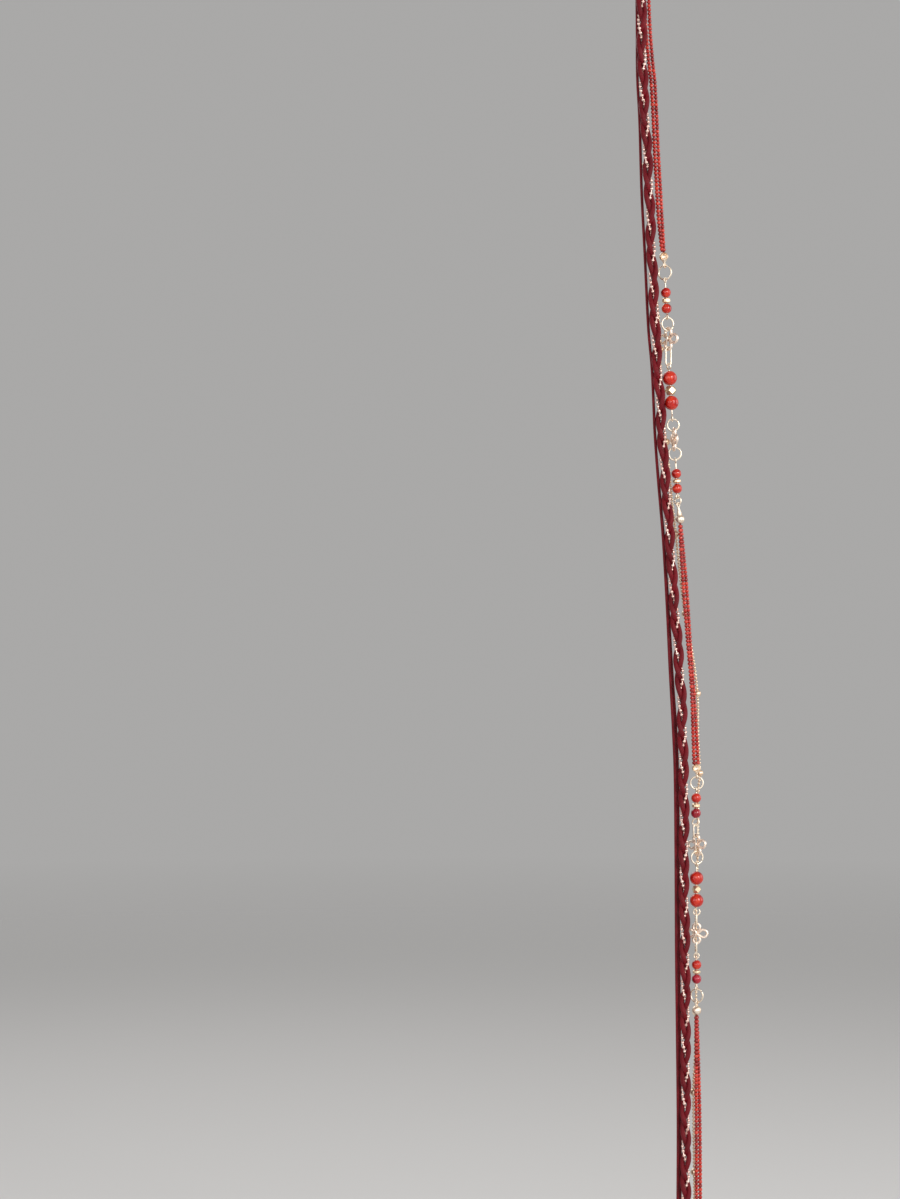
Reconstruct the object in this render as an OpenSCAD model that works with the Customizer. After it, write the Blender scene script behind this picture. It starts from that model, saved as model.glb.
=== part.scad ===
// A hair clip with a long tassel: cords, a plait, seed-bead strands, a ball chain and two bead drops.
// Front faces -Y, +X is to the right, +Z is up. The origin is the middle of the clip's grip.

/* [Clip] */
// Half the height of the clip, from its middle to the hole in its tab
clip_reach = 22; // [20:0.5:24]
// Radius of the clip's wide end
clip_wide_r = 7; // [6.5:0.1:7.5]
// Radius of the clip's narrow end
clip_narrow_r = 2.8; // [2.6:0.1:3.2]
// Thickness of the clip's sheet
clip_sheet = 0.8; // [0.6:0.1:1]
// Radius to which the clip is bowed
clip_bow_r = 180; // [150:5:240]
// Diameter of the hole in the clip's tab
tab_hole_d = 2.6; // [2.4:0.1:2.8]

/* [Cap and ring] */
// Mean radius of the ring that joins clip and cap
gather_r = 3; // [2.9:0.1:3.2]
// Wire diameter of that ring and of the cap's loop
gather_wire_d = 1; // [0.8:0.1:1.1]
// Diameter of the cap in which the strands end
cap_d = 8.8; // [8.6:0.1:10]
// Height of the cap's straight wall
cap_wall_h = 4.6; // [4:0.1:5]

/* [Strands] */
// Diameter of a straight satin cord
cord_d = 1.2; // [1:0.1:1.3]
// Width of the plait
plait_w = 4.5; // [4:0.1:4.6]
// Depth of the plait
plait_depth = 3.3; // [3:0.1:3.4]
// Diameter of a strand of seed beads
seed_d = 1.6; // [1.4:0.1:1.7]
// Diameter of the fine ball chain
chain_d = 1.3; // [1.1:0.1:1.3]
// Diameter of the larger balls on that chain
chain_ball_d = 3; // [2.6:0.1:3]

/* [Bead drops] */
// Wire diameter of the eye pins and of the tips' loops
pin_wire_d = 0.6; // [0.5:0.1:0.6]
// Wire diameter of the rings and the oval links
ring_wire_d = 0.7; // [0.6:0.1:0.7]
// Wire diameter of the flowers
flower_wire_d = 1; // [0.9:0.1:1]
// Diameter of the hole through a bead or a spacer
bead_bore_d = 0.9; // [0.9:0.1:1.1]
// Diameter of a bead tip's cup
tip_cup_d = 3.7; // [3.5:0.1:3.8]
// Width of an oval link over its wire
link_w = 3.2; // [3:0.1:3.3]

/* [Hidden] */
SINGLES = [
    "snap_clip", "gather_ring", "strand_cap", "straight_cord_front", "straight_cord_back", "plait",
    "plait_end", "satellite_chain"
];
SEED_NAMES = [
    for (stretch = ["upper", "middle", "lower"], side = ["left", "right"])
        str("seed_strand_", stretch, "_", side)
];
function numbered(word, n) = [for (i = [1:n]) str(word, "_", i)];
$fn = 48;

gold = "#d9b391";
pale_gold = "#e6d8c4";
copper_gold = "#cf9f80";
burgundy = "#64101f";
coral = "#c4352a";

// Bowed clip, its slot and its tongue
clip_wide_z = -13;
clip_tip_z = 19;
slot_w = 1.3;
frame_w = 2.1;
tab_r = 2.7;
// Distance from the clip's narrow end to the centres of the slot's end and of the tongue's end, and their radii
slot_short = 1;
slot_end_r = clip_narrow_r - 1.4;
tongue_short = 5;
tongue_end_r = 0.7;
// How far a cutting shape runs past what it cuts
cut_over = 2;
function bow_y(z) = clip_bow_r - sqrt(clip_bow_r * clip_bow_r - z * z);

// Heights of the clip's tab, the ring, the cap's loop and the cap's underside, all hanging from one another
hang_y = bow_y(clip_reach);
hang_gap = 0.1;
gather_z = -clip_reach - tab_hole_d / 2 - gather_r + gather_wire_d / 2 + hang_gap;
cap_loop_r = 1.6;
cap_loop_z = gather_z - gather_r + gather_wire_d + 2 * hang_gap - cap_loop_r;
cap_loop_sink = 0.1;
cap_under_z = -38;
cap_dome_r = 1.4;

// Half the distance between the axes of the two threads in a pair
pair_half = 0.86;
seed_r = seed_d / 2;

// Ferrule on the plait's end
ferrule_wall = 0.2;
ferrule_h = 4;

// Steps between two points of a route, and sides of the tubes along them
cord_steps = 3;
chain_steps = 2;
cord_sides = 8;
plait_sides = 12;

// Routes, all in mm. Straight cords, plait and chain: x, y, z
CORD_FRONT_ROUTE = [
    [-1.9, 2.7, -38], [-1.8, 2.6, -54], [-1.7, 2.4, -70], [-0.8, 2.3, -88], [0, 2.3, -116], [1.2, 2, -140],
    [2.6, 1.6, -170], [4, 1.5, -186], [4.7, 1.5, -200], [5.3, 1.5, -214], [6.6, 1.5, -232], [8.6, 1.5, -256],
    [10.2, 1.5, -284], [11.3, 1.5, -308], [12.6, 1.4, -332], [13.3, 1.3, -350], [13.6, 1.2, -380],
    [13.8, 1.2, -420], [14.2, 1.2, -456], [14.5, 1.2, -490], [14.4, 1.4, -523]
];
CORD_BACK_ROUTE = [
    [-1.3, 4.2, -38], [-1.6, 4, -54], [-1.6, 3.8, -70], [-0.7, 3.7, -88], [0.1, 3.7, -116], [1.3, 3.4, -140],
    [2.7, 3, -170], [4.1, 2.9, -186], [4.8, 2.9, -200], [5.4, 2.9, -214], [6.8, 2.9, -232], [9, 2.9, -256],
    [10.8, 2.8, -284], [12.2, 2.6, -308], [13.8, 2.5, -332], [14.5, 2.4, -350], [14.8, 2.3, -380],
    [15, 2.3, -420], [15.3, 2.3, -456], [15.6, 2.4, -490], [15.5, 2.9, -524]
];
PLAIT_ROUTE = [
    [-0.2, 0, -38], [0, 0, -60], [0.8, 0, -80], [2, 0, -100], [3, 0, -120], [3.8, 0, -140], [4.8, 0, -160],
    [5.8, 0, -180], [7.2, 0, -200], [8.4, 0, -220], [10, 0, -240], [11.4, 0, -260], [12.8, 0, -280],
    [14.4, 0, -300], [15.8, 0, -320], [16.4, 0, -340], [16.8, 0, -360], [16.8, 0, -380], [16.7, 0, -392],
    [17.1, 0, -412], [17.3, 0, -440], [17.4, 0, -480], [17.5, 0, -520]
];
CHAIN_ROUTE = [
    [0.6, 4.5, -38], [0.9, 4.6, -68], [1.5, 4.8, -94], [1.9, 4.8, -110], [2.8, 4.8, -126], [4.1, 4.8, -142],
    [6.2, 3.7, -160], [7.4, 3, -174], [7.6, 3.1, -186], [7.8, 4.2, -196], [9.4, 3.8, -212], [11.2, 3.9, -228],
    [12.3, 4.2, -240], [13.8, 4.4, -253], [16.7, 4.5, -280], [20.3, 4.5, -300], [22.5, 4.5, -317],
    [22.8, 4.5, -334], [23.5, 5, -349], [22.9, 5, -358], [22.8, 5, -376], [22.5, 5.8, -392],
    [22.2, 5.8, -402], [22, 5.2, -416], [22.1, 5.2, -434], [22, 5.8, -446], [21.7, 4.4, -460],
    [20.9, 3.9, -477], [21.2, 3.9, -509], [21.3, 3.8, -521.5]
];
// Pairs of seed strands: x, y, z of the pair's middle and the angle at which one thread lies beside the other
SEED_UPPER_ROUTE = [
    [1.95, 2.5, -38, -6], [2.6, 2.7, -52, 8], [3.6, 2.7, -64, 18], [4.5, 2.5, -72, 24], [5.3, 2.4, -86, 28],
    [5.9, 2.3, -100, 26], [6.8, 2.2, -116, 24], [7.5, 2.2, -128, 32], [8.5, 2.2, -140.2, 60]
];
SEED_MIDDLE_ROUTE = [
    [15.5, 2.2, -249.8, 75], [16.2, 2, -260, 55], [17.4, 1.8, -276, 35], [18.4, 1.7, -290, 45],
    [19.3, 1.7, -302, 55], [20.4, 1.8, -316, 58], [21.2, 2, -332, 35], [21.8, 2.2, -345.3, 20]
];
SEED_LOWER_ROUTE = [
    [22, 2.2, -446.6, 75], [22.2, 2, -460, 58], [22.4, 1.8, -476, 40], [22.6, 1.7, -494, 30],
    [22.7, 1.6, -522, 25]
];
SEED_ROUTES = [SEED_UPPER_ROUTE, SEED_MIDDLE_ROUTE, SEED_LOWER_ROUTE];

// Larger balls on the fine chain, further apart above the sixth than below it
chain_ball_pitch_upper = 37;
chain_ball_pitch_lower = 32;
chain_ball_first_z = -68.6;
chain_ball_count = 14;
chain_ball_turn = 5;

// Depth at which the bead drops hang
drop_y = 2.2;

// Rings: x, z of the centre, mean radius, turn about Z
RINGS = [
    [9.3, -148.8, 2.8, -30], [10.4, -169.4, 2.6, 24], [12.6, -209.9, 2.35, 0], [13.3, -221.4, 2.5, 0],
    [14.5, -240.2, 1.5, -40], [22.1, -353.3, 2.5, 0], [22.2, -383.2, 2.5, 20], [22.1, -438.5, 2.65, -30]
];
// Oval links: x, z of the centre, length over the wire, turn about Z
LINKS = [[10.7, -182.3, 8.1, 30], [21.6, -372.45, 6, 46], [22, -408.05, 5.8, 80], [22, -419.5, 6.5, 84]];
// Flowers: x, z of the centre, scale, turn about Z that is negative when the left side lies back, tilt
FLOWERS = [
    [10.6, -175.35, 1.1, -45, 0], [12.9, -215.6, 1.1, -80, 0], [22.1, -378, 1, -44, 7],
    [22, -413.6, 1, -12, 0]
];
// Eye pins: x, z of the upper eye, lean, length between the eyes, then mean radius and turn of each eye
PINS = [
    [9.4, -151.75, 3, 14.95, 0.9, 60, 0.9, 114], [10.9, -186.4, 3.8, 20.75, 1.2, 120, 1.2, 90],
    [13.6, -224.05, 3, 14.5, 0.9, 90, 0.9, 50], [21.9, -355.95, -1, 13.25, 0.9, 90, 1.35, -14],
    [21.95, -385.8, 0.3, 19.2, 0.9, 110, 1.3, -10], [22, -422.6, 0, 13.1, 1, -6, 0.9, 60]
];
// What each pin carries: bead diameter, distance down the pin of the first bead, the spacer and the second bead
PIN_LOADS = [
    [4.1, 5.05, 8.25, 11.45], [5.9, 4.7, 9.65, 14.6], [4, 5.3, 8.3, 11.3], [4, 3.4, 6.45, 9.5],
    [5.5, 5.65, 10.15, 14.65], [3.9, 3.6, 6.45, 9.3]
];
LARGE_PINS = [1, 4];
SMALL_PINS = [0, 2, 3, 5];
// Gap between a spacer and a bead, the nugget's cut as a share of its side, its turn, and a rondelle's width
spacer_gap = 0.15;
nugget_share = 0.92;
nugget_turn = 20;
rondelle_d = 3.3;
// Bead tips: x, z of the loop, distance from loop to cup, lean, turn of the loop, 1 when the cup is on top
TIPS = [
    [9.2, -145.9, 3.5, 5, 60, 1], [14.6, -241.85, 5.85, 7, -50, 0], [22.1, -350.65, 3.3, 2, 90, 1],
    [22.1, -441.35, 3.1, -1, -60, 0]
];
tip_loop_r = 0.9;
cup_wall = 0.45;
// Radius of a tip's neck at the loop, then shares of the cup's radius: the neck's radius and depth at the cup,
// and how far the hollow's middle lies in front of the cup's
neck_r = 0.35;
neck_wide_share = 0.7;
neck_deep_share = 0.6;
hollow_share = 0.75;

// Petals of a flower: distance of the petal's middle from the flower's middle, and mean radius
SIDE_PETAL = [2.8, 1.5];
END_PETAL = [2.55, 1.4];
petal_steps = 20;
wire_sides = 8;
// How far the side petals' wires lie behind the end petals' wires where they cross
weave = 0.2;
// How far a petal's arc runs on inside the straight wire, in degrees, and how much thicker that wire is
petal_lap = 7;
joint_swell = 1.07;

// Smooth curve through a route's points, with the ends repeated, and the number of steps between two points
function route_row(p, i) = p[min(max(i, 0), len(p) - 1)];
function curve_at(p, i, t) =
    let (a = route_row(p, i - 1), b = route_row(p, i), c = route_row(p, i + 1), d = route_row(p, i + 2))
        b + t * (c - a) / 2 + t * t * (2 * a - 5 * b + 4 * c - d) / 2 + t * t * t * (3 * b - a - 3 * c + d) / 2;
function curve(p, steps) =
    concat([for (i = [0:len(p) - 2], s = [0:steps - 1]) curve_at(p, i, s / steps)], [p[len(p) - 1]]);

// Point of a curve at a height, on the straight between the two rings that enclose it
function at_height(c, z) =
    let (i = [for (k = [0:len(c) - 2]) if (c[k].z >= z && c[k + 1].z < z) k][0])
        c[i] + (c[i + 1] - c[i]) * (z - c[i].z) / (c[i + 1].z - c[i].z);

// One thread of a pair: side is -1 for the left and 1 for the right
function thread(p, side) =
    [for (r = p) [r.x + side * pair_half * cos(r[3]), r.y + side * pair_half * sin(r[3]), r.z]];

// A tube with level rings along a curve that runs downwards
module tube(c, rx, ry, sides) {
    n = len(c);
    points = [
        for (r = c, k = [0:sides - 1])
            let (turn = 360 * k / sides) [r.x + rx * cos(turn), r.y + ry * sin(turn), r.z]
    ];
    walls = [
        for (i = [0:n - 2], k = [0:sides - 1])
            let (a = i * sides + k, b = i * sides + (k + 1) % sides)
                each [[a, b, b + sides], [a, b + sides, a + sides]]
    ];
    first = [for (k = [sides - 1:-1:0]) k];
    last = [for (k = [0:sides - 1]) (n - 1) * sides + k];
    polyhedron(points, concat(walls, [first, last]));
}

module torus(r, wire_d) {
    rotate_extrude() translate([r, 0]) circle(d = wire_d);
}

// A torus that stands upright, its plane turned about Z from the front
module standing_torus(r, wire_d, turn) {
    rotate([90, 0, turn]) torus(r, wire_d);
}

// Outline between two round ends on the Y axis
module tapered(r1, y1, r2, y2) {
    hull() {
        translate([0, y1]) circle(r1, $fn = 32);
        translate([0, y2]) circle(r2, $fn = 32);
    }
}

module clip_outline() {
    tongue_r = clip_wide_r - frame_w - slot_w;
    difference() {
        union() {
            tapered(clip_wide_r, clip_wide_z, clip_narrow_r, clip_tip_z);
            translate([0, -clip_reach]) circle(tab_r);
        }
        difference() {
            tapered(clip_wide_r - frame_w, clip_wide_z, slot_end_r, clip_tip_z - slot_short);
            tapered(tongue_r, clip_wide_z, tongue_end_r, clip_tip_z - tongue_short);
            translate([-tongue_r, clip_wide_z - clip_wide_r]) square([2 * tongue_r, clip_wide_r]);
        }
        translate([0, -clip_reach]) circle(d = tab_hole_d);
    }
}

module snap_clip() {
    shell_w = 2 * (clip_wide_r + cut_over);
    color(gold)
        intersection() {
            translate([0, clip_wide_r, 0]) rotate([90, 0, 0]) linear_extrude(2 * clip_wide_r) clip_outline();
            translate([-shell_w / 2, clip_bow_r, 0])
                rotate([0, 90, 0])
                    difference() {
                        cylinder(r = clip_bow_r + clip_sheet / 2, h = shell_w);
                        translate([0, 0, -cut_over])
                            cylinder(r = clip_bow_r - clip_sheet / 2, h = shell_w + 2 * cut_over);
                    }
        }
}

module gather_ring() {
    color(gold) translate([0, hang_y, gather_z]) standing_torus(gather_r, gather_wire_d, 90);
}

module strand_cap() {
    dome_h = cap_loop_z - cap_loop_r + cap_loop_sink - cap_under_z - cap_wall_h;
    color(gold)
        translate([0, hang_y, 0]) {
            translate([0, 0, cap_loop_z]) standing_torus(cap_loop_r, gather_wire_d, 0);
            translate([0, 0, cap_under_z]) cylinder(d = cap_d, h = cap_wall_h);
            translate([0, 0, cap_under_z + cap_wall_h]) cylinder(r1 = cap_d / 2, r2 = cap_dome_r, h = dome_h);
        }
}

module straight_cord(route) {
    color(burgundy) tube(curve(route, cord_steps), cord_d / 2, cord_d / 2, cord_sides);
}

module plait() {
    color(burgundy) tube(curve(PLAIT_ROUTE, chain_steps), plait_w / 2, plait_depth / 2, plait_sides);
}

module plait_end() {
    foot = PLAIT_ROUTE[len(PLAIT_ROUTE) - 1];
    color(gold) translate(foot - [0, 0, ferrule_h]) cylinder(d = plait_w + 2 * ferrule_wall, h = ferrule_h);
}

module satellite_chain() {
    line = curve(CHAIN_ROUTE, chain_steps);
    color(gold) {
        tube(line, chain_d / 2, chain_d / 2, cord_sides);
        for (i = [0:chain_ball_count - 1]) {
            upper = min(i, chain_ball_turn) * chain_ball_pitch_upper;
            lower = max(i - chain_ball_turn, 0) * chain_ball_pitch_lower;
            translate(at_height(line, chain_ball_first_z - upper - lower)) sphere(d = chain_ball_d);
        }
        translate(line[len(line) - 1]) sphere(d = chain_ball_d);
    }
}

module seed_strand(route, side) {
    color(coral) tube(curve(thread(route, side), cord_steps), seed_r, seed_r, cord_sides);
}

module bead_tip(row) {
    cup_r = tip_cup_d / 2;
    neck_h = row[2] - tip_loop_r - cup_r * neck_deep_share;
    front = row[5] == 1 ? -1 : 1;
    away = row[5] == 1 ? 0 : 180;
    color(pale_gold)
        translate([row[0], drop_y, row[1]])
            rotate([0, away - row[3], 0]) {
                standing_torus(tip_loop_r, pin_wire_d, row[4]);
                translate([0, 0, tip_loop_r]) cylinder(r1 = neck_r, r2 = cup_r * neck_wide_share, h = neck_h);
                translate([0, 0, row[2]])
                    difference() {
                        sphere(cup_r);
                        translate([0, front * cup_r * hollow_share, 0]) sphere(cup_r - cup_wall);
                    }
            }
}

module ring(row) {
    color(pale_gold) translate([row[0], drop_y, row[1]]) standing_torus(row[2], ring_wire_d, row[3]);
}

module link(row) {
    bend_r = (link_w - ring_wire_d) / 2;
    side_h = row[2] - link_w;
    color(pale_gold)
        translate([row[0], drop_y, row[1]])
            rotate([90, 0, row[3]]) {
                for (end = [0, 180])
                    rotate([0, 0, end])
                        translate([0, side_h / 2, 0])
                            rotate_extrude(angle = 180) translate([bend_r, 0]) circle(d = ring_wire_d);
                for (side = [-1, 1])
                    translate([side * bend_r, side_h / 2, 0])
                        rotate([90, 0, 0]) cylinder(d = ring_wire_d, h = side_h);
            }
}

// One petal loop on the X axis, its two ends reaching a little way into the straight wires
module petal(shape) {
    opening = asin(shape[1] / shape[0]) + petal_lap;
    translate([shape[0], 0, 0])
        rotate([0, 0, -90 - opening])
            rotate_extrude(angle = 180 + 2 * opening, $fn = petal_steps)
                translate([shape[1], 0]) circle(d = flower_wire_d, $fn = wire_sides);
}

// The two straight wires that cross in the middle and join two opposite petals
module crossed_wires(shape) {
    opening = asin(shape[1] / shape[0]);
    reach = sqrt(shape[0] * shape[0] - shape[1] * shape[1]);
    for (side = [-1, 1])
        rotate([0, 90, side * opening])
            cylinder(d = flower_wire_d * joint_swell, h = 2 * reach, center = true, $fn = wire_sides);
}

module petal_pair(shape) {
    petal(shape);
    rotate([0, 0, 180]) petal(shape);
    crossed_wires(shape);
}

module flower(row) {
    width = 2 * (SIDE_PETAL[0] + SIDE_PETAL[1]) + flower_wire_d;
    height = 2 * (END_PETAL[0] + END_PETAL[1]) + flower_wire_d;
    color(copper_gold)
        translate([row[0], drop_y, row[1]])
            rotate([90, -row[4], row[3]])
                resize(row[2] * [width, height, flower_wire_d * joint_swell + weave]) {
                    translate([0, 0, -weave / 2]) petal_pair(SIDE_PETAL);
                    translate([0, 0, weave / 2]) rotate([0, 0, 90]) petal_pair(END_PETAL);
                }
}

// The frame of one pin: its upper eye at the origin and its wire along -Z
module on_pin(i) {
    translate([PINS[i][0], drop_y, PINS[i][1]]) rotate([0, -PINS[i][2], 0]) children();
}

module eye_pin(i) {
    row = PINS[i];
    color(pale_gold)
        on_pin(i) {
            standing_torus(row[4], pin_wire_d, row[5]);
            translate([0, 0, -row[3]]) standing_torus(row[6], pin_wire_d, row[7]);
            translate([0, 0, row[6] - row[3]]) cylinder(d = pin_wire_d, h = row[3] - row[4] - row[6]);
        }
}

module bead(i, place) {
    load = PIN_LOADS[i];
    color(coral)
        on_pin(i)
            translate([0, 0, -load[place]])
                difference() {
                    sphere(d = load[0]);
                    cylinder(d = bead_bore_d, h = 2 * load[0], center = true);
                }
}

// Bead k of those on the listed pins, two to a pin, the upper one first
module bead_in_order(pins, k) {
    bead(pins[floor(k / 2)], k % 2 == 0 ? 1 : 3);
}

// A cube with cut corners on the large pins, and a disc with slanted faces on the small ones
module spacer(i) {
    load = PIN_LOADS[i];
    large = len(search(i, LARGE_PINS)) > 0;
    room = load[3] - load[1] - load[0] - 2 * spacer_gap;
    color(gold)
        on_pin(i)
            translate([0, 0, -load[2]])
                difference() {
                    if (large) nugget(room - 2 * spacer_gap);
                    else rondelle(room);
                    cylinder(d = bead_bore_d, h = 2 * load[0], center = true);
                }
}

module nugget(side) {
    cut = side * nugget_share;
    corners = [[cut, 0, 0], [-cut, 0, 0], [0, cut, 0], [0, -cut, 0], [0, 0, cut], [0, 0, -cut]];
    faces = [for (x = [0, 1], y = [2, 3], z = [4, 5]) (x + y + z) % 2 == 0 ? [x, z, y] : [x, y, z]];
    rotate([0, 0, nugget_turn])
        intersection() {
            cube(side, center = true);
            polyhedron(corners, faces);
        }
}

module rondelle(height) {
    intersection() {
        cylinder(d = rondelle_d, h = height, center = true, $fn = 8);
        for (flip = [0, 180])
            rotate([flip, 0, 0]) cylinder(d1 = rondelle_d, d2 = rondelle_d - height, h = height / 2);
    }
}

snap_clip();
gather_ring();
strand_cap();
straight_cord(CORD_FRONT_ROUTE);  // straight_cord_front
straight_cord(CORD_BACK_ROUTE);  // straight_cord_back
plait();
plait_end();
satellite_chain();
for (i = [0:len(SEED_ROUTES) - 1])
    for (side = [0, 1])
        seed_strand(SEED_ROUTES[i], 2 * side - 1);
for (i = [0:len(TIPS) - 1]) bead_tip(TIPS[i]);
for (i = [0:len(RINGS) - 1]) ring(RINGS[i]);
for (i = [0:len(LINKS) - 1]) link(LINKS[i]);
for (i = [0:len(FLOWERS) - 1]) flower(FLOWERS[i]);
for (i = [0:len(PINS) - 1]) eye_pin(i);
for (k = [0:2 * len(SMALL_PINS) - 1])
    bead_in_order(SMALL_PINS, k);
for (k = [0:2 * len(LARGE_PINS) - 1])
    bead_in_order(LARGE_PINS, k);
for (i = [0:len(PINS) - 1]) spacer(i);
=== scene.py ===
import math
import random

import bmesh
import bpy
from mathutils import Matrix, Vector


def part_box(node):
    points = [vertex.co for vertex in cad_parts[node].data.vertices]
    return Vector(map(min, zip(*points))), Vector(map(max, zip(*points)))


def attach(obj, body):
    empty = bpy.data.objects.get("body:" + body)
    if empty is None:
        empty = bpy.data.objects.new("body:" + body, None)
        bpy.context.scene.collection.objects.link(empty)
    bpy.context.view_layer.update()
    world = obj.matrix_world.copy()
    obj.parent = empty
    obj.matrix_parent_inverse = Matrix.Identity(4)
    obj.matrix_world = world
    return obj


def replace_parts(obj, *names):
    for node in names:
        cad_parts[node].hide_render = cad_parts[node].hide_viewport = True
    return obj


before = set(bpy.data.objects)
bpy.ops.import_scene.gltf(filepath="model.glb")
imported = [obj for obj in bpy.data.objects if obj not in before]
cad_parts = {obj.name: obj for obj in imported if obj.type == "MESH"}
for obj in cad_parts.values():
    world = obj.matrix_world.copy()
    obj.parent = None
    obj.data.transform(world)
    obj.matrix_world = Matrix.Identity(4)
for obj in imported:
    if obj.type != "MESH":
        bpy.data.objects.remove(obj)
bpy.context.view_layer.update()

MM = 0.001

# Camera
# It looks level along the strands from a little over a metre away. One pixel of the 900 by 1199 frame is
# 0.4 mm where the plait hangs, and the clip itself hangs just above the frame's top edge.
FRAME_W_PX = 900
FRAME_H_PX = 1199
PX = 0.4 * MM
CLIP_COLUMN_PX = 642
FRAME_TOP_Z = -40 * MM
LENS = 85
frame_h = FRAME_H_PX * PX
camera = bpy.data.objects.new("camera", bpy.data.cameras.new("camera"))
bpy.context.scene.collection.objects.link(camera)
bpy.context.scene.camera = camera
camera.data.lens = LENS
camera.location = (
    (FRAME_W_PX / 2 - CLIP_COLUMN_PX) * PX,
    -frame_h * LENS / camera.data.sensor_width,
    FRAME_TOP_Z - frame_h / 2,
)
camera.rotation_euler = (math.pi / 2, 0, 0)


# Straight cords
# Two limp satin cords, 1.2 mm thick, that hang from the cap beside and behind the plait. Each ends in a plain
# knot. The satin is knitted, so it has fine ribs across and a sheen that turns purple at the edges. Its
# colour is also painted darker in the rib grooves and lighter on the crests: painted shade.
CORD_D = 1.2 * MM
ROUTE_STEPS = 6
CORD_ROUTES = {
    "straight_cord_front": [
        (-1.9, 2.7, -38), (-1.8, 2.6, -54), (-1.7, 2.4, -70), (-0.8, 2.3, -88), (0, 2.3, -116),
        (1.2, 2, -140), (2.6, 1.6, -170), (4, 1.5, -186), (4.7, 1.5, -200), (5.3, 1.5, -214),
        (6.6, 1.5, -232), (8.6, 1.5, -256), (10.2, 1.5, -284), (11.3, 1.5, -308), (12.6, 1.4, -332),
        (13.3, 1.3, -350), (13.6, 1.2, -380), (13.8, 1.2, -420), (14.2, 1.2, -456), (14.5, 1.2, -490),
        (14.4, 1.4, -523),
    ],
    "straight_cord_back": [
        (-1.3, 4.2, -38), (-1.6, 4, -54), (-1.6, 3.8, -70), (-0.7, 3.7, -88), (0.1, 3.7, -116),
        (1.3, 3.4, -140), (2.7, 3, -170), (4.1, 2.9, -186), (4.8, 2.9, -200), (5.4, 2.9, -214),
        (6.8, 2.9, -232), (9, 2.9, -256), (10.8, 2.8, -284), (12.2, 2.6, -308), (13.8, 2.5, -332),
        (14.5, 2.4, -350), (14.8, 2.3, -380), (15, 2.3, -420), (15.3, 2.3, -456), (15.6, 2.4, -490),
        (15.5, 2.9, -524),
    ],
}
# The deep end is both the cord's own darker tone and the painted shade in the rib grooves.
BURGUNDY = (0.225, 0.006, 0.013, 1)
BURGUNDY_DEEP_AND_GROOVE_SHADE = (0.075, 0.002, 0.005, 1)
PINK_SHEEN = (0.95, 0.35, 0.5, 1)
RIB_PITCH = 0.42 * MM
KNOT_SIZE = 0.42 * MM
KNOT_STEPS = 54
KNOT_SIDES = 10


def smooth_line(points):
    """A smooth line through the points of a route, which are in millimetres."""
    rows = [Vector(p) * MM for p in points]
    line = []
    for i in range(len(rows) - 1):
        a, b, c, d = (rows[min(max(k, 0), len(rows) - 1)] for k in range(i - 1, i + 3))
        for s in range(ROUTE_STEPS):
            t = s / ROUTE_STEPS
            swing = t * t * (2 * a - 5 * b + 4 * c - d) + t**3 * (3 * b - a - 3 * c + d)
            line.append(b + (t * (c - a) + swing) / 2)
    return line + [rows[-1]]


def line_length(line):
    return sum((b - a).length for a, b in zip(line, line[1:]))


class Value:
    """A number or a colour that varies over a surface. Arithmetic on it adds the nodes that work it out."""

    def __init__(self, finish, socket):
        self.finish = finish
        self.socket = socket

    def worked(self, operation, *numbers):
        return self.finish.node("ShaderNodeMath", {"operation": operation}, numbers)

    def __add__(self, other):
        return self.worked("ADD", self, other)

    def __mul__(self, other):
        return self.worked("MULTIPLY", self, other)

    def __sub__(self, other):
        return self.worked("SUBTRACT", self, other)

    def __rsub__(self, other):
        return self.worked("SUBTRACT", other, self)

    def sine(self):
        return self.worked("SINE", self)

    __radd__ = __add__
    __rmul__ = __mul__


class Finish:
    """The finish of one material: the constants of its shader, and the nodes that vary it."""

    def __init__(self, name, **constants):
        self.material = bpy.data.materials.new(name)
        self.material.use_nodes = True
        self.tree = self.material.node_tree
        self.shader = self.tree.nodes["Principled BSDF"]
        for words, value in constants.items():
            self.shader.inputs[words.replace("_", " ")].default_value = value

    def node(self, kind, settings, inputs, output=0):
        node = self.tree.nodes.new(kind)
        for word, value in settings.items():
            if word == "stops":
                ramp = node.color_ramp.elements
                for place, colour in value[1:-1]:
                    ramp.new(place)
                for stop, (place, colour) in zip(ramp, value):
                    stop.position = place
                    stop.color = colour
            else:
                setattr(node, word, value)
        pairs = inputs.items() if isinstance(inputs, dict) else enumerate(inputs)
        for key, value in pairs:
            if isinstance(value, Value):
                self.tree.links.new(value.socket, node.inputs[key])
            else:
                node.inputs[key].default_value = value
        return Value(self, node.outputs[output])

    def place(self):
        """Object coordinates, in millimetres, because a noise takes no scale as large as metres need."""
        metres = self.node("ShaderNodeTexCoord", {}, {}, "Object")
        return self.node("ShaderNodeVectorMath", {"operation": "SCALE"}, {"Vector": metres, "Scale": 1 / MM})

    def axis(self, name):
        return self.node("ShaderNodeSeparateXYZ", {}, [self.place()], name)

    def noise(self, size, detail=2.0, rough=0.5):
        """Noise from 0 to 1 whose patches are about size metres across."""
        inputs = {"Vector": self.place(), "Scale": MM / size, "Detail": detail, "Roughness": rough}
        return self.node("ShaderNodeTexNoise", {}, inputs)

    def ramp(self, value, *stops):
        return self.node("ShaderNodeValToRGB", {"stops": stops}, [value])

    def feed(self, word, value):
        self.tree.links.new(value.socket, self.shader.inputs[word])

    def bump(self, height, depth, strength=1.0):
        """Height from 0 to 1 stands depth metres proud."""
        raised = self.node("ShaderNodeBump", {}, {"Strength": strength, "Distance": depth, "Height": height})
        self.feed("Normal", raised)


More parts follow.
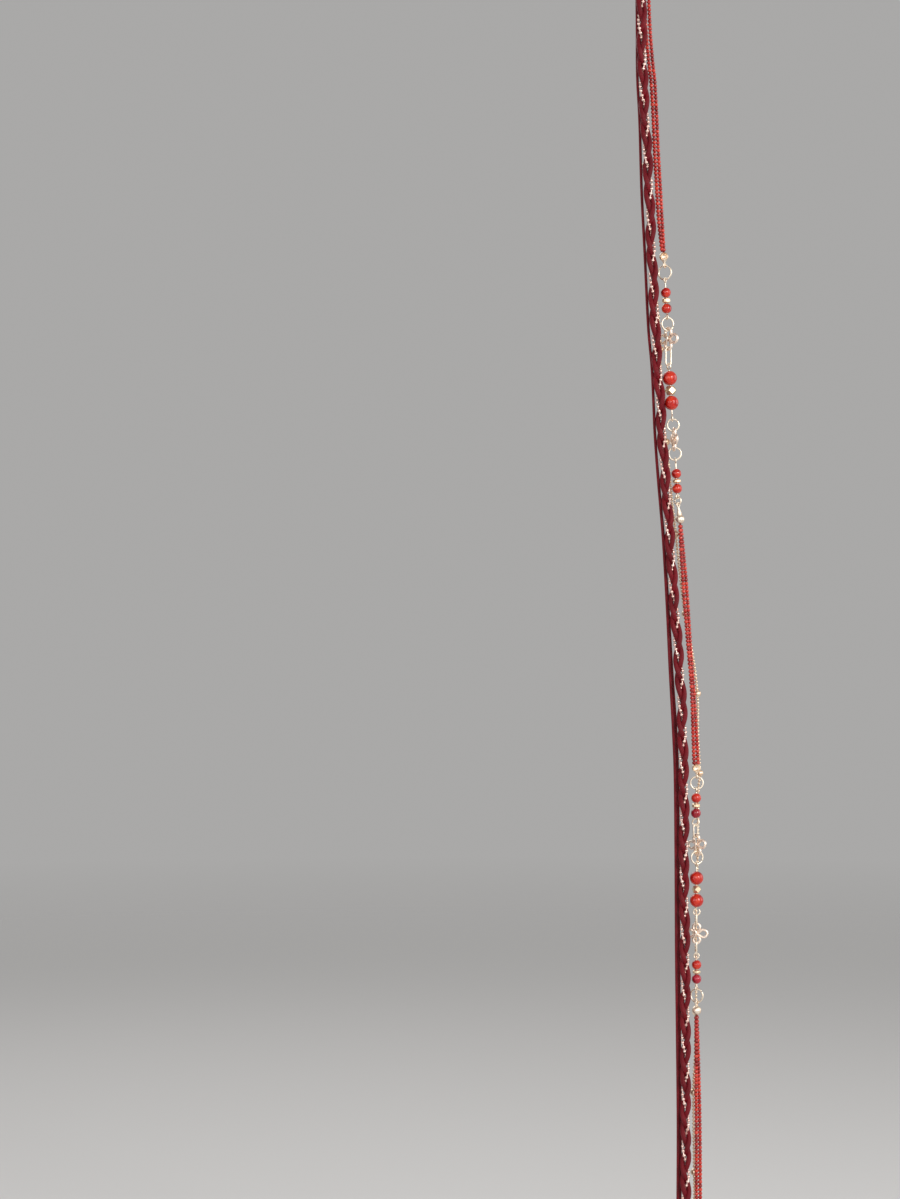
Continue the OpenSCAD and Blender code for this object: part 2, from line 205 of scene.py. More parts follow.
def satin(name, ribs):
    """Knitted satin: ribs across the cord, silk-like sheen, and a slow change of tone along it.
    The ribs are also painted into the colour as painted shade, darker in the grooves and lighter on the
    crests.
    """
    finish = Finish(name, IOR=1.28, Sheen_Weight=0.1, Sheen_Roughness=0.3, Sheen_Tint=PINK_SHEEN)
    height = finish.axis("Z") * (2 * math.pi * MM / ribs)
    lean = (finish.axis("X") + finish.axis("Y")) * (2 * math.pi * MM / (2 * ribs))
    stitch = finish.noise(2 * MM) * 1.2
    rising = (height + lean + stitch).sine() * 0.5 + 0.5
    falling = (height - lean - stitch).sine() * 0.5 + 0.5
    wave = rising * (1 - 0.35 * falling)
    strands = finish.noise(0.2 * MM, detail=3.0)
    # The rib wave's share of this is painted shade, darker in the grooves and lighter on the crests. The two
    # noises are the cord's own tone.
    shade = finish.noise(9 * MM, detail=1.0) * 0.4 + strands * 0.2 + wave * 0.4
    finish.feed("Base Color", finish.ramp(shade, (0.25, BURGUNDY_DEEP_AND_GROOVE_SHADE), (0.75, BURGUNDY)))
    finish.feed("Roughness", 0.3 + strands * 0.24)
    finish.bump(wave * 0.75 + strands * 0.25, 0.09 * MM)
    return finish


def soft_cord(name, line, thickness, finish):
    """A round cord along a line, as a curve of one open spline."""
    curve = bpy.data.curves.new(name, "CURVE")
    curve.dimensions = "3D"
    curve.bevel_depth = thickness / 2
    curve.bevel_resolution = 3
    curve.use_fill_caps = True
    spline = curve.splines.new("POLY")
    spline.points.add(len(line) - 1)
    for point, place in zip(spline.points, line):
        point.co = (*place, 1)
    spline.use_smooth = True
    curve.materials.append(finish.material)
    piece = bpy.data.objects.new(name, curve)
    bpy.context.scene.collection.objects.link(piece)
    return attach(piece, "root")


def wire(line, radius, sides=12, closed=False):
    """A round wire along a line: a ring of edges at each point, bridged to the next."""
    shape = bmesh.new()
    if closed:
        ends = line[-1:] + line + line[:1]
    else:
        ends = [2 * line[0] - line[1]] + line + [2 * line[-1] - line[-2]]
    rings = []
    way = Vector((0, 0, 1))
    turn = way.rotation_difference(way)
    for before, here, after in zip(ends, ends[1:], ends[2:]):
        ahead = (after - before).normalized()
        turn = way.rotation_difference(ahead) @ turn
        way = ahead
        place = Matrix.Translation(here) @ turn.to_matrix().to_4x4()
        made = bmesh.ops.create_circle(shape, segments=sides, radius=radius, matrix=place)
        rings.append({edge for corner in made["verts"] for edge in corner.link_edges})
    pairs = list(zip(rings, rings[1:])) + ([(rings[-1], rings[0])] if closed else [])
    for one, other in pairs:
        bmesh.ops.bridge_loops(shape, edges=list(one | other))
    if not closed:
        bmesh.ops.holes_fill(shape, edges=list(rings[0] | rings[-1]), sides=sides)
    bmesh.ops.recalc_face_normals(shape, faces=shape.faces)
    return shape


def as_mesh(name, shape):
    mesh = bpy.data.meshes.new(name)
    shape.to_mesh(mesh)
    shape.free()
    return mesh


def new_piece(name, shape, finish, smooth=True):
    """The shape as a piece that rides on the object, with its finish."""
    mesh = as_mesh(name, shape)
    if smooth:
        mesh.shade_smooth()
    mesh.materials.append(finish.material)
    piece = bpy.data.objects.new(name, mesh)
    bpy.context.scene.collection.objects.link(piece)
    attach(piece, "root")
    return piece


def knot_line(middle):
    """An overhand knot's line round a middle, closed inside the cord."""
    line = []
    for k in range(KNOT_STEPS):
        t = 2 * math.pi * k / KNOT_STEPS
        across = math.sin(t) + 2 * math.sin(2 * t)
        deep = 0.8 * math.sin(3 * t)
        high = math.cos(t) - 2 * math.cos(2 * t)
        line.append(middle + Vector((across, deep, high)) * KNOT_SIZE)
    return line


cord_satin = satin("satin_cord", RIB_PITCH)
for node, route in CORD_ROUTES.items():
    line = smooth_line(route)
    cord = soft_cord(node + "_satin", line, CORD_D, cord_satin)
    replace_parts(cord, node)
    knot_shape = wire(knot_line(line[-1]), CORD_D / 2, KNOT_SIDES, closed=True)
    knot = new_piece(node + "_knot", knot_shape, cord_satin)
    line_length(line)


# Plait
# Two burgundy satin cords and one rose-gold ball chain, plaited in three. A strand crosses in front as it
# leaves either edge and goes behind past the middle. The plait is tighter lower down: each turn is shorter.
PLAIT_ROUTE = [
    (-0.2, 0, -38), (0, 0, -60), (0.8, 0, -80), (2, 0, -100), (3, 0, -120), (3.8, 0, -140), (4.8, 0, -160),
    (5.8, 0, -180), (7.2, 0, -200), (8.4, 0, -220), (10, 0, -240), (11.4, 0, -260), (12.8, 0, -280),
    (14.4, 0, -300), (15.8, 0, -320), (16.4, 0, -340), (16.8, 0, -360), (16.8, 0, -380), (16.7, 0, -392),
    (17.1, 0, -412), (17.3, 0, -440), (17.4, 0, -480), (17.5, 0, -520),
]
PLAITED_CORD_D = 2 * MM
PLAITED_RIB_PITCH = 0.5 * MM
CORD_SWING = 1.28 * MM
CHAIN_SWING = 1.15 * MM
PLAIT_DEPTH = 1.02 * MM
FIRST_TURN_Z = -48.95 * MM
FIRST_TURN_H = 26.12 * MM
TURN_SHORTENS = 0.1285 * MM
STEPS_PER_TURN = 24
BALL_D = 1.38 * MM
BALL_PITCH = 1.92 * MM
ROD_D = 0.5 * MM
ROSE_GOLD = (0.93, 0.68, 0.60, 1)
ROSE_GOLD_DEEP = (0.80, 0.50, 0.42, 1)


def at_height(line, z):
    """The point of a falling line at a height."""
    for a, b in zip(line, line[1:]):
        if a.z >= z >= b.z:
            return a + (b - a) * ((z - a.z) / (b.z - a.z))
    return line[0] if z > line[0].z else line[-1]


def plaited_line(shift, swing):
    """The line of one strand of the plait. Shift is its lead over the chain, as a share of a turn."""
    core = smooth_line(PLAIT_ROUTE)
    top, foot = core[0].z, core[-1].z
    line = []
    step = -STEPS_PER_TURN
    while True:
        turns = step / STEPS_PER_TURN
        z = FIRST_TURN_Z - FIRST_TURN_H * turns + TURN_SHORTENS * turns * turns
        step += 1
        if z > top:
            continue
        if z < foot:
            return line
        angle = 2 * math.pi * (turns + shift)
        aside = Vector((-swing * math.cos(angle), -PLAIT_DEPTH * math.sin(2 * angle), 0))
        line.append(at_height(core, z) + aside)


def walk(line, pitch, start=0.0):
    """Evenly spaced places along a line, with the line's direction at each."""
    places = []
    left = start
    for a, b in zip(line, line[1:]):
        step = b - a
        while left <= step.length:
            places.append((a + step * (left / step.length), step.normalized()))
            left += pitch
        left -= step.length
    return places


def placed(point, direction):
    """Places a shape made along Z at a point, its Z along a direction."""
    return Matrix.Translation(point) @ direction.to_track_quat("Z", "Y").to_matrix().to_4x4()


def add_copy(shape, mesh, place):
    """Adds a copy of a mesh to the shape at a place, and returns the copy's corners."""
    before = len(shape.verts)
    shape.from_mesh(mesh)
    shape.verts.ensure_lookup_table()
    added = shape.verts[before:]
    bmesh.ops.transform(shape, matrix=place, verts=added)
    return added


def ball_chain(line, ball, pitch, rod):
    """Hollow balls, each with the short rod that joins it to the next, as on a real ball chain."""
    bead = bmesh.new()
    bmesh.ops.create_uvsphere(bead, u_segments=10, v_segments=6, radius=ball / 2)
    bmesh.ops.create_cone(
        bead, cap_ends=False, segments=5, radius1=rod / 2, radius2=rod / 2, depth=pitch,
        matrix=Matrix.Translation((0, 0, pitch / 2)),
    )
    one_bead = as_mesh("ball_and_rod", bead)
    shape = bmesh.new()
    for point, direction in walk(line, pitch, start=pitch / 2):
        add_copy(shape, one_bead, placed(point, direction))
    return shape


def plating(name, bright, deep, rough=0.2, patch=3 * MM):
    """Polished plating: slight change of tone, dulled in places, with hairline wear."""
    finish = Finish(name, Metallic=1.0)
    tone = finish.noise(patch, detail=3.0, rough=0.6)
    finish.feed("Base Color", finish.ramp(tone, (0.3, deep), (0.6, bright)))
    wear = finish.noise(0.4 * MM, detail=4.0, rough=0.7)
    finish.feed("Roughness", rough - 0.06 + wear * 0.14)
    finish.bump(wear, 0.012 * MM, 0.5)
    return finish


plait_satin = satin("plaited_satin", PLAITED_RIB_PITCH)
rose_gold = plating("rose_gold", ROSE_GOLD, ROSE_GOLD_DEEP, rough=0.36)
for name, shift in (("plait_cord_one", 1 / 3), ("plait_cord_two", 2 / 3)):
    line = plaited_line(shift, CORD_SWING)
    cord = soft_cord(name, line, PLAITED_CORD_D, plait_satin)
    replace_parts(cord, "plait")
    line_length(line)
chain_shape = ball_chain(plaited_line(0, CHAIN_SWING), BALL_D, BALL_PITCH, ROD_D)
chain = new_piece("plait_ball_chain", chain_shape, rose_gold)
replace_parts(chain, "plait")


# Seed strands
# Two parallel threads of coral-red glass seed beads in three stretches. The beads are cut from cane, so no
# two have quite the same length, lie or shade. The threads follow the rings of the frame's tubes.
SEED_D = 1.6 * MM
SEED_BORE_D = 0.55 * MM
SEED_H = 1.45 * MM
SEED_GAP = 0.08 * MM
SEED_SIDES = 9
THREAD_D = 0.4 * MM
THREAD_SIDES = 6
THREAD_TWIST = 0.3 * MM
THREAD_REACH = 0.5 * MM
KNOT_D = 0.95 * MM
CORAL_RED = (0.42, 0.014, 0.009, 1)
CORAL_BRIGHT = (0.60, 0.042, 0.020, 1)
CORAL_DARK = (0.22, 0.005, 0.005, 1)
SEED_STRETCHES = [
    f"seed_strand_{part}_{side}" for part in ("upper", "middle", "lower") for side in ("left", "right")
]
dice = random.Random(7)


def tube_line(node):
    """The middle line of a frame tube, from its level rings."""
    rings = {}
    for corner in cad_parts[node].data.vertices:
        spot = tuple(round(value, 6) for value in corner.co)
        rings.setdefault(round(corner.co.z, 5), set()).add(spot)
    falling = sorted(rings, reverse=True)
    return [sum((Vector(spot) for spot in rings[z]), Vector()) / len(rings[z]) for z in falling]


def turned(outline, steps):
    """A closed outline of radii and heights, spun round the Z axis."""
    shape = bmesh.new()
    corners = [shape.verts.new((radius, 0, z)) for radius, z in outline]
    edges = [shape.edges.new(pair) for pair in zip(corners, corners[1:] + corners[:1])]
    bmesh.ops.spin(
        shape, geom=corners + edges, cent=(0, 0, 0), axis=(0, 0, 1), angle=2 * math.pi, steps=steps,
        use_merge=True,
    )
    bmesh.ops.recalc_face_normals(shape, faces=shape.faces)
    return shape


def seed_bead():
    """One seed bead round the Z axis: a rounded wall round its bore."""
    outer, bore, half = SEED_D / 2, SEED_BORE_D / 2, SEED_H / 2
    outline = [(bore, -0.8), (0.66 * outer, -1), (outer, -0.5), (outer, 0.5), (0.66 * outer, 1), (bore, 0.8)]
    return as_mesh("seed_bead", turned([(radius, share * half) for radius, share in outline], SEED_SIDES))


def threaded(bead, line):
    """Beads along a line, each with a shade of its own."""
    shape = bmesh.new()
    shade = shape.verts.layers.float.new("shade")
    pitch = SEED_H + SEED_GAP
    for point, direction in walk(line, pitch, start=pitch / 2):
        lie = direction + Vector((dice.uniform(-0.07, 0.07), dice.uniform(-0.07, 0.07), 0))
        size = Matrix.Diagonal((dice.uniform(0.95, 1.0), dice.uniform(0.95, 1.0), dice.uniform(0.9, 1.03), 1))
        own = dice.random()
        for corner in add_copy(shape, bead, placed(point, lie) @ size):
            corner[shade] = own
    return shape


def thread(line):
    """The waxed thread, from inside what holds it to the small knot that stops the last bead."""
    shape = wire([line[0] + Vector((0, 0, THREAD_REACH))] + line, THREAD_D / 2, THREAD_SIDES)
    bmesh.ops.create_icosphere(shape, subdivisions=2, radius=KNOT_D / 2, matrix=Matrix.Translation(line[-1]))
    return shape


coral_glass = Finish(
    "coral_glass", IOR=1.45, Coat_Weight=0.2, Coat_Roughness=0.1, Subsurface_Weight=0.1,
    Subsurface_Scale=0.4 * MM,
)
own_shade = coral_glass.node("ShaderNodeAttribute", {"attribute_name": "shade"}, {}, "Fac")
cloud = coral_glass.noise(0.6 * MM)
tone = own_shade * 0.75 + cloud * 0.25
red = coral_glass.ramp(tone, (0.1, CORAL_DARK), (0.45, CORAL_RED), (0.9, CORAL_BRIGHT))
coral_glass.feed("Base Color", red)
coral_glass.feed("Roughness", 0.16 + cloud * 0.12)
red_thread = satin("waxed_thread", THREAD_TWIST)
one_seed = seed_bead()
for node in SEED_STRETCHES:
    line = tube_line(node)
    strand = new_piece(node + "_beads", threaded(one_seed, line), coral_glass)
    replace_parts(strand, node)
    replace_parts(new_piece(node + "_thread", thread(line), red_thread), node)


# Fine ball chain
# A pale gold chain of 1.25 mm hollow balls that hangs behind the drops. Every 35 mm or so a 3 mm ball is
# soldered in, and the same ball closes the chain's end.
CHAIN_ROUTE = [
    (0.6, 4.5, -38), (0.9, 4.6, -68), (1.5, 4.8, -94), (1.9, 4.8, -110), (2.8, 4.8, -126), (4.1, 4.8, -142),
    (6.2, 3.7, -160), (7.4, 3, -174), (7.6, 3.1, -186), (7.8, 4.2, -196), (9.4, 3.8, -212), (11.2, 3.9, -228),
    (12.3, 4.2, -240), (13.8, 4.4, -253), (16.7, 4.5, -280), (20.3, 4.5, -300), (22.5, 4.5, -317),
    (22.8, 4.5, -334), (23.5, 5, -349), (22.9, 5, -358), (22.8, 5, -376), (22.5, 5.8, -392),
    (22.2, 5.8, -402), (22, 5.2, -416), (22.1, 5.2, -434), (22, 5.8, -446), (21.7, 4.4, -460),
    (20.9, 3.9, -477), (21.2, 3.9, -509), (21.3, 3.8, -521.5),
]
FINE_BALL_D = 1.22 * MM
FINE_PITCH = 1.42 * MM
FINE_ROD_D = 0.45 * MM
LARGE_BALL_D = 3 * MM
LARGE_FIRST_Z = -68.6 * MM
LARGE_PITCH_UPPER = 37 * MM
LARGE_PITCH_LOWER = 32 * MM
LARGE_COUNT = 14
LARGE_TURN = 5
PALE_GOLD = (0.90, 0.72, 0.54, 1)
PALE_GOLD_DEEP = (0.72, 0.50, 0.34, 1)

fine_line = smooth_line(CHAIN_ROUTE)
fine_chain = ball_chain(fine_line, FINE_BALL_D, FINE_PITCH, FINE_ROD_D)
large_spots = []
for i in range(LARGE_COUNT):
    drop = min(i, LARGE_TURN) * LARGE_PITCH_UPPER + max(i - LARGE_TURN, 0) * LARGE_PITCH_LOWER
    large_spots.append(at_height(fine_line, LARGE_FIRST_Z - drop))
for spot in large_spots + [fine_line[-1]]:
    bmesh.ops.create_uvsphere(
        fine_chain, u_segments=20, v_segments=12, radius=LARGE_BALL_D / 2, matrix=Matrix.Translation(spot)
    )
pale_gold = plating("pale_gold", PALE_GOLD, PALE_GOLD_DEEP, rough=0.34)
satellite = new_piece("satellite_ball_chain", fine_chain, pale_gold)
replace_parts(satellite, "satellite_chain")


# Rings and oval links
# Cut from 0.7 mm wire and closed, so that each ring shows the thin line where its ends meet. The links are
# the same wire bent to an oval. Turns are about the vertical, in degrees.
RING_WIRE_D = 0.7 * MM
RING_TURNS = [-30, 24, 0, 0, -40, 0, 20, -30]
LINK_TURNS = [30, 46, 80, 84]
LINK_W = 3.2 * MM
SLIT_DEG = 5
FIRST_SLIT_AT = 270
SLIT_MOVES_ON = 70
RING_STEPS = 44
LINK_BEND_STEPS = 16
CHAMPAGNE = (0.94, 0.84, 0.70, 1)
CHAMPAGNE_DEEP = (0.80, 0.66, 0.50, 1)


def middle(node):
    low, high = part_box(node)
    return (low + high) / 2


def height(node):
    low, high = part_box(node)
    return high.z - low.z


def upright(centre, turn):
    """Stands a flat shape up to face the front at a centre, then turns it about the vertical."""
    about = Matrix.Rotation(math.radians(turn), 4, "Z")
    return Matrix.Translation(centre) @ about @ Matrix.Rotation(math.pi / 2, 4, "X")


def arc(centre, radius, start, sweep, steps):
    """Points on a flat arc, from a start angle through a sweep, in degrees."""
    angles = [math.radians(start + sweep * k / steps) for k in range(steps + 1)]
    return [centre + radius * Vector((math.cos(a), math.sin(a), 0)) for a in angles]


champagne = plating("champagne_gold", CHAMPAGNE, CHAMPAGNE_DEEP, rough=0.4, patch=2 * MM)
for number, turn in enumerate(RING_TURNS, start=1):
    node = f"ring_{number}"
    radius = (height(node) - RING_WIRE_D) / 2
    start = FIRST_SLIT_AT + SLIT_MOVES_ON * (number - 1) + SLIT_DEG / 2
    hoop = arc(Vector(), radius, start, 360 - SLIT_DEG, RING_STEPS)
    shape = wire([upright(middle(node), turn) @ point for point in hoop], RING_WIRE_D / 2)
    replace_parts(new_piece(f"jump_{node}", shape, champagne), node)
for number, turn in enumerate(LINK_TURNS, start=1):
    node = f"link_{number}"
    bend = (LINK_W - RING_WIRE_D) / 2
    side = Vector((0, (height(node) - LINK_W) / 2, 0))
    oval = arc(side, bend, 0, 180, LINK_BEND_STEPS) + arc(-side, bend, 180, 180, LINK_BEND_STEPS)
    shape = wire([upright(middle(node), turn) @ point for point in oval], RING_WIRE_D / 2, closed=True)
    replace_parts(new_piece(f"oval_{node}", shape, champagne), node)


# Knot flowers
# Cast from a wire model of a knot with four loops, plated in warm copper gold. Each pair of opposite petals
# is one closed wire that crosses itself in the middle, where the two wires weave over and under each other.
FLOWER_WIRE_D = 1 * MM
SIDE_PETAL_AT, SIDE_PETAL_R = 2.8 * MM, 1.5 * MM
END_PETAL_AT, END_PETAL_R = 2.55 * MM, 1.4 * MM
PETAL_STEPS = 18
SIDE_CROSSING = -0.18 * MM
END_CROSSING = 0.22 * MM
WEAVE = 0.26 * MM
FLOWER_TURNS = [(-45, 0), (-80, 0), (-44, 7), (-12, 0)]
FLOWER_H = 2 * (END_PETAL_AT + END_PETAL_R) + FLOWER_WIRE_D
COPPER_GOLD = (0.97, 0.83, 0.71, 1)
COPPER_GOLD_DEEP = (0.92, 0.73, 0.59, 1)


def petal(crossing, centre, radius, lift):
    """From the crossing out along one leg, round the petal and back. One leg lies lift in front."""
    out = centre - crossing
    heading = math.degrees(math.atan2(out.y, out.x))
    opening = math.degrees(math.asin(radius / out.length))
    loop = arc(centre, radius, heading - 90 - opening, 180 + 2 * opening, PETAL_STEPS)
    line = []
    for share in (0, 0.25, 0.5, 0.75):
        line.append(crossing.lerp(loop[0], share) + Vector((0, 0, lift * (1 - share**2))))
    line += loop
    for share in (0.75, 0.5, 0.25):
        line.append(crossing.lerp(loop[-1], share) - Vector((0, 0, lift * (1 - share**2))))
    return line


def petal_pair(axis, at, radius, crossing, lift):
    """Two opposite petals on one closed wire."""
    return petal(crossing, axis * at, radius, lift) + petal(crossing, axis * -at, radius, -lift)


copper_gold = plating("copper_gold", COPPER_GOLD, COPPER_GOLD_DEEP, rough=0.42, patch=1.5 * MM)
for number, (turn, tilt) in enumerate(FLOWER_TURNS, start=1):
    node = f"flower_{number}"
    size = height(node) / FLOWER_H
    lean = Matrix.Rotation(math.radians(tilt), 4, "Z")
    standing = upright(middle(node), turn) @ lean @ Matrix.Scale(size, 4)
    sides = petal_pair(Vector((1, 0, 0)), SIDE_PETAL_AT, SIDE_PETAL_R, Vector((0, SIDE_CROSSING, 0)), WEAVE)
    ends = petal_pair(Vector((0, 1, 0)), END_PETAL_AT, END_PETAL_R, Vector((0, END_CROSSING, 0)), -2 * WEAVE)
    flower = bmesh.new()
    for line in (sides, ends):
        loop = wire([standing @ point for point in line], size * FLOWER_WIRE_D / 2, closed=True)
        flower.from_mesh(as_mesh("petal_wire", loop))
    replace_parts(new_piece(f"knot_{node}", flower, copper_gold), node)


# Eye pins
# A straight 0.6 mm wire with each end bent round to an eye, which grips a ring, link or petal. Rows give the
# upper eye's x and z, the pin's lean, its length between eyes, and each eye's mean radius and turn.
PIN_WIRE_D = 0.6 * MM
EYE_FROM_DEG = -70
EYE_SWEEP_DEG = 305
EYE_STEPS = 20
NECK_STARTS = 0.9 * MM
NECK_BENDS = 0.4 * MM
DROP_Y = 2.2
PINS = [
    (9.4, -151.75, 3, 14.95, 0.9, 60, 0.9, 114), (10.9, -186.4, 3.8, 20.75, 1.2, 120, 1.2, 90),
    (13.6, -224.05, 3, 14.5, 0.9, 90, 0.9, 50), (21.9, -355.95, -1, 13.25, 0.9, 90, 1.35, -14),
    (21.95, -385.8, 0.3, 19.2, 0.9, 110, 1.3, -10), (22, -422.6, 0, 13.1, 1, -6, 0.9, 60),
]


def eye(radius, turn):
    """From the neck round the eye, in the pin's own frame with the eye's middle at its origin."""
    bend = math.radians(turn)
    angles = [math.radians(EYE_FROM_DEG + EYE_SWEEP_DEG * k / EYE_STEPS) for k in range(EYE_STEPS + 1)]
    flat = [(0, -radius - NECK_STARTS), (0, -radius - NECK_BENDS)]
    flat += [(radius * math.cos(a), radius * math.sin(a)) for a in angles]
    return [Vector((u * math.cos(bend), u * math.sin(bend), z)) for u, z in flat]


def leaning(place, lean):
    """Leans a shape made along Z sideways, and moves it to a place."""
    return Matrix.Translation(place) @ Matrix.Rotation(math.radians(-lean), 4, "Y")


for number, (x, z, lean, length, upper_r, upper_turn, lower_r, lower_turn) in enumerate(PINS, start=1):
    upper = eye(upper_r * MM, upper_turn)
    lower = [Vector((-p.x, -p.y, -p.z - length * MM)) for p in eye(lower_r * MM, lower_turn)]
    stand = leaning(Vector((x, DROP_Y, z)) * MM, lean)
    pin_shape = wire([stand @ point for point in upper[::-1] + lower], PIN_WIRE_D / 2)
    bent_pin = new_piece(f"bent_eye_pin_{number}", pin_shape, champagne)
    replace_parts(bent_pin, f"eye_pin_{number}")


# Round beads
# Polished coral-red stone, slightly translucent, drilled and eased at the hole. The colour clouds from deep
# red to orange, and two of the small beads are nearer raspberry.
BEAD_BORE_D = 0.9 * MM
BORE_EASE = 0.12 * MM
BEAD_SIDES = 36
STONE_DEEP = (0.18, 0.002, 0.003, 1)
STONE_RED = (0.46, 0.011, 0.005, 1)
STONE_ORANGE = (0.64, 0.045, 0.011, 1)
STONE_RASPBERRY = (0.34, 0.007, 0.022, 1)
STONE_ROSE = (0.48, 0.020, 0.048, 1)
RASPBERRY_BEADS = ("small_bead_6", "small_bead_8")
SMALL_BEAD_PINS = (0, 2, 3, 5)
LARGE_BEAD_PINS = (1, 4)


def round_bead(width):
    """A ball round the Z axis with an eased bore."""
    radius, bore = width / 2, BEAD_BORE_D / 2
    first = math.asin((bore + BORE_EASE) / radius)
    steps = BEAD_SIDES // 2
    bend = [first + (math.pi - 2 * first) * k / steps for k in range(steps + 1)]
    mouth = radius * math.cos(first) - BORE_EASE
    round_side = [(radius * math.sin(a), radius * math.cos(a)) for a in bend]
    return turned([(bore, mouth)] + round_side + [(bore, -mouth)], BEAD_SIDES)


def stone(name, deep, red, light):
    """Polished stone, clouded between three tones, with finer veins."""
    finish = Finish(
        name, IOR=1.42, Coat_Weight=0.35, Coat_Roughness=0.06, Subsurface_Weight=0.1,
        Subsurface_Radius=(1.0, 0.25, 0.15), Subsurface_Scale=1.2 * MM,
    )
    clouds = finish.noise(2.6 * MM, detail=3.0, rough=0.55)
    veins = finish.noise(0.9 * MM, detail=4.0, rough=0.65)
    tone = clouds * 0.7 + veins * 0.3
    finish.feed("Base Color", finish.ramp(tone, (0.3, deep), (0.48, red), (0.68, light)))
    finish.feed("Roughness", 0.12 + veins * 0.1)
    return finish


coral_stone = stone("coral_stone", STONE_DEEP, STONE_RED, STONE_ORANGE)
raspberry_stone = stone("raspberry_stone", STONE_DEEP, STONE_RASPBERRY, STONE_ROSE)
for kind, pins in (("small_bead", SMALL_BEAD_PINS), ("large_bead", LARGE_BEAD_PINS)):
    for k in range(2 * len(pins)):
        node = f"{kind}_{k + 1}"
        low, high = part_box(node)
        bead = round_bead(high.x - low.x)
        bmesh.ops.transform(bead, matrix=leaning(middle(node), PINS[pins[k // 2]][2]), verts=bead.verts)
        finish = raspberry_stone if node in RASPBERRY_BEADS else coral_stone
        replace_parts(new_piece(f"stone_{node}", bead, finish), node)


# Spacers
# Between two large beads a gold nugget, a cube with its corners cut away. Between two small ones a ten-sided
# rondelle with slanted rims. Both are polished flat and keep slightly eased edges.
NUGGET_CUT = 0.92
NUGGET_TURN = 20
RONDELLE_D = 3.3 * MM
RONDELLE_SIDES = 10
RONDELLE_CHAMFER = 0.45 * MM
SAME_HEIGHT = 0.01 * MM
FACET_EASE = 0.07 * MM
FACET_ANGLE = math.radians(10)
GOLD = (0.93, 0.76, 0.52, 1)
GOLD_DEEP = (0.78, 0.54, 0.32, 1)


def nugget(side):
    """A cube with its eight corners cut off by planes."""
    shape = bmesh.new()
    bmesh.ops.create_cube(shape, size=side)
    for corner in [Vector((x, y, z)) for x in (-1, 1) for y in (-1, 1) for z in (-1, 1)]:
        plane = corner * (NUGGET_CUT * side / 3)
        whole = shape.verts[:] + shape.edges[:] + shape.faces[:]
        bmesh.ops.bisect_plane(shape, geom=whole, plane_co=plane, plane_no=corner, clear_outer=True)
        bmesh.ops.holes_fill(shape, edges=[edge for edge in shape.edges if edge.is_boundary])
    bmesh.ops.rotate(shape, matrix=Matrix.Rotation(math.radians(NUGGET_TURN), 3, "Z"), verts=shape.verts)
    return shape


def rondelle(thick):
    """A short ten-sided barrel whose rims are cut to a slant."""
    shape = bmesh.new()
    bmesh.ops.create_cone(
        shape, cap_ends=True, segments=RONDELLE_SIDES, radius1=RONDELLE_D / 2, radius2=RONDELLE_D / 2,
        depth=thick,
    )
    rims = [edge for edge in shape.edges if abs(edge.verts[0].co.z - edge.verts[1].co.z) < SAME_HEIGHT]
    bmesh.ops.bevel(
        shape, geom=rims, offset=RONDELLE_CHAMFER, segments=1, profile=0.5, affect="EDGES", material=-1
    )
    return shape


bright_gold = plating("bright_gold", GOLD, GOLD_DEEP, rough=0.34, patch=2 * MM)
for number, pin in enumerate(PINS, start=1):
    node = f"spacer_{number}"
    large = number - 1 in LARGE_BEAD_PINS
    spacer = nugget(height(node)) if large else rondelle(height(node))
    ring = [edge for edge in spacer.edges if edge.calc_face_angle(0) > FACET_ANGLE]
    bmesh.ops.bevel(
        spacer, geom=ring, offset=FACET_EASE, segments=1, profile=0.5, affect="EDGES", material=-1,
        clamp_overlap=True,
    )
    bmesh.ops.recalc_face_normals(spacer, faces=spacer.faces)
    bmesh.ops.transform(spacer, matrix=leaning(middle(node), pin[2]), verts=spacer.verts)
    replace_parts(new_piece(f"faceted_{node}", spacer, bright_gold, smooth=False), node)


# Clip, ring, cap, ferrule and bead tips
# The frame's own solids are shown. The clip is one bowed, pressed sheet with a tongue, the cap and ferrule
# are turned, and the tips are pressed cups. All are plated, and their edges are slightly eased.
EDGE_EASE = 0.1 * MM
SHARP = math.radians(35)
SAME_CORNER = 0.002 * MM


def plate(node, finish, ease):
    """Gives a frame solid its finish, joins its triangles and rounds its sharp edges, with modifiers only."""
    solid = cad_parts[node]
    solid.data.materials.clear()
    solid.data.materials.append(finish.material)
    weld = solid.modifiers.new("join", "WELD")
    weld.merge_threshold = SAME_CORNER
    bevel = solid.modifiers.new("ease", "BEVEL")
    bevel.width = ease
    bevel.segments = 2
    bevel.limit_method = "ANGLE"
    bevel.angle_limit = SHARP
    bevel.harden_normals = True


plated = plating("plated_sheet", ROSE_GOLD, ROSE_GOLD_DEEP, rough=0.26, patch=6 * MM)
cup_gold = plating("cup_gold", CHAMPAGNE, PALE_GOLD_DEEP, rough=0.42, patch=2 * MM)
for node in ("snap_clip", "gather_ring", "strand_cap", "plait_end"):
    plate(node, plated, EDGE_EASE)
for number in range(1, 5):
    plate(f"bead_tip_{number}", cup_gold, EDGE_EASE / 2)


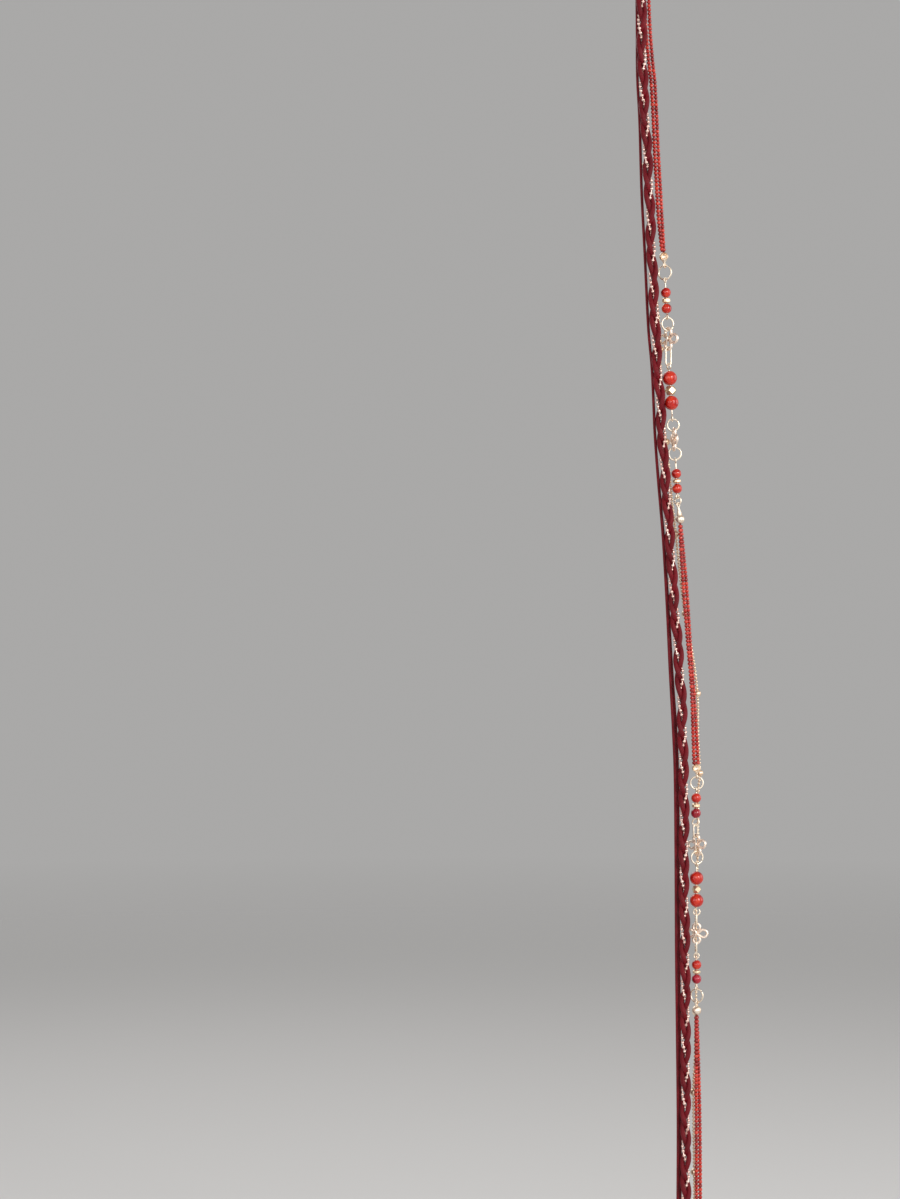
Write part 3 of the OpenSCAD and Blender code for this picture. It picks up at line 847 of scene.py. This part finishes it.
# Studio
# A pale floor that fades into an even pale background. Soft lights stand at the front right with a small
# one beside it, then at the right, left, front and high behind. Rows give a light's place, size and power.
FLOOR_Z = -600 * MM
FLOOR_R = 2.6
FLOOR_SIDES = 96
SOLID_TO = 0.25
FADED_BY = 0.95
PALE = (0.80, 0.79, 0.78, 1)
ROOM_LIGHT = 0.5
PALE_PAINT = (0.70, 0.69, 0.68, 1)
LIGHTS = [
    ((0.80, -0.95, 0.05), 0.9, 3.7),
    ((0.75, -1.05, 0.25), 0.2, 1.3),
    ((1.15, 0.15, -0.05), 0.9, 2.2),
    ((-1.0, -0.75, -0.05), 0.9, 1.7),
    ((-0.25, -1.5, 0.05), 0.9, 2.6),
    ((-0.55, 1.05, 0.55), 0.9, 2.2),
]
LIGHT_SPREAD = math.radians(120)
AIM = Vector((0.01, 0, -0.28))

floor_shape = bmesh.new()
level = Matrix.Translation((0, 0, FLOOR_Z))
bmesh.ops.create_circle(floor_shape, cap_ends=True, segments=FLOOR_SIDES, radius=FLOOR_R, matrix=level)
floor_mesh = as_mesh("floor", floor_shape)
floor = bpy.data.objects.new("floor", floor_mesh)
bpy.context.scene.collection.objects.link(floor)
pale_floor = Finish("pale_floor", Base_Color=PALE_PAINT, Roughness=0.9)
out = pale_floor.node("ShaderNodeVectorMath", {"operation": "LENGTH"}, [pale_floor.place()], "Value")
fade = pale_floor.ramp(out * (MM / FLOOR_R), (SOLID_TO, (1, 1, 1, 1)), (FADED_BY, (0, 0, 0, 1)))
pale_floor.feed("Alpha", fade)
floor_mesh.materials.append(pale_floor.material)

for place, size, power in LIGHTS:
    lamp = bpy.data.lights.new("softbox", "AREA")
    lamp.size = size
    lamp.energy = power
    lamp.spread = LIGHT_SPREAD
    light = bpy.data.objects.new("softbox", lamp)
    light.location = place
    light.rotation_euler = (AIM - Vector(place)).to_track_quat("-Z", "Y").to_euler()
    bpy.context.scene.collection.objects.link(light)
world = bpy.data.worlds.new("pale_room")
world.use_nodes = True
background = world.node_tree.nodes["Background"]
background.inputs["Color"].default_value = PALE
background.inputs["Strength"].default_value = ROOM_LIGHT
bpy.context.scene.world = world
bpy.context.scene.view_settings.view_transform = "Standard"
